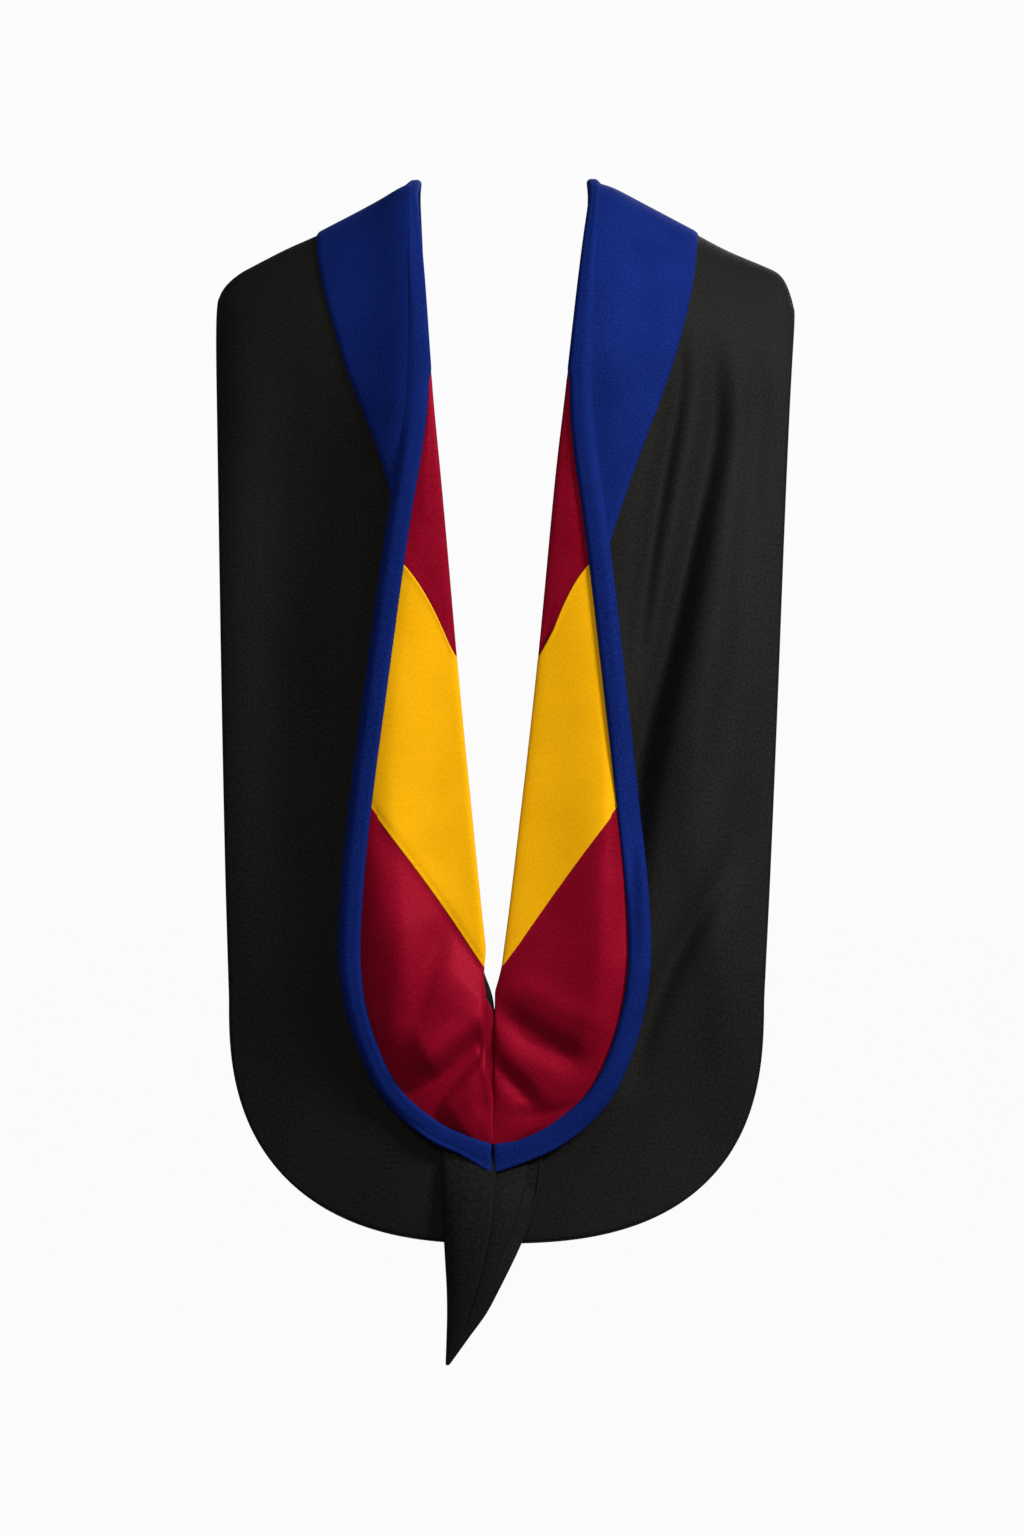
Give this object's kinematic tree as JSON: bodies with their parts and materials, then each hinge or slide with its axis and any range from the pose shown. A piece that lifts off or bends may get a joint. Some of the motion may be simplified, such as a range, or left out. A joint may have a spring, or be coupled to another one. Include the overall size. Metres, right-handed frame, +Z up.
{
  "type": "academic hood",
  "caption": "Doctoral-style academic hood in its worn shape: black cape, velvet facing and band, satin lining with a chevron, and a hanging tail.",
  "frame": {"origin": "midway between the two neck edges at shoulder height, where the hood sits on the wearer", "axes": "+Z up, -Y out of the wearer's back, +Y out of the chest, +X to the wearer's right"},
  "size_m": [0.4821, 0.211, 0.9849],
  "materials": {
    "black_wool": "matt black worsted cloth",
    "blue_velvet": "royal blue velvet pile",
    "maroon_satin": "soft maroon satin",
    "gold_satin": "soft golden yellow satin"
  },
  "bodies": {
    "root": {"cape_left": "black_wool", "cape_right": "black_wool", "facing_left": "blue_velvet", "facing_right": "blue_velvet", "band_left": "blue_velvet", "band_right": "blue_velvet", "lining_top_left": "maroon_satin", "lining_top_right": "maroon_satin", "chevron_left": "gold_satin", "chevron_right": "gold_satin", "lining_foot_left": "maroon_satin", "lining_foot_right": "maroon_satin", "tail": "black_wool"}
  },
  "joints": []
}
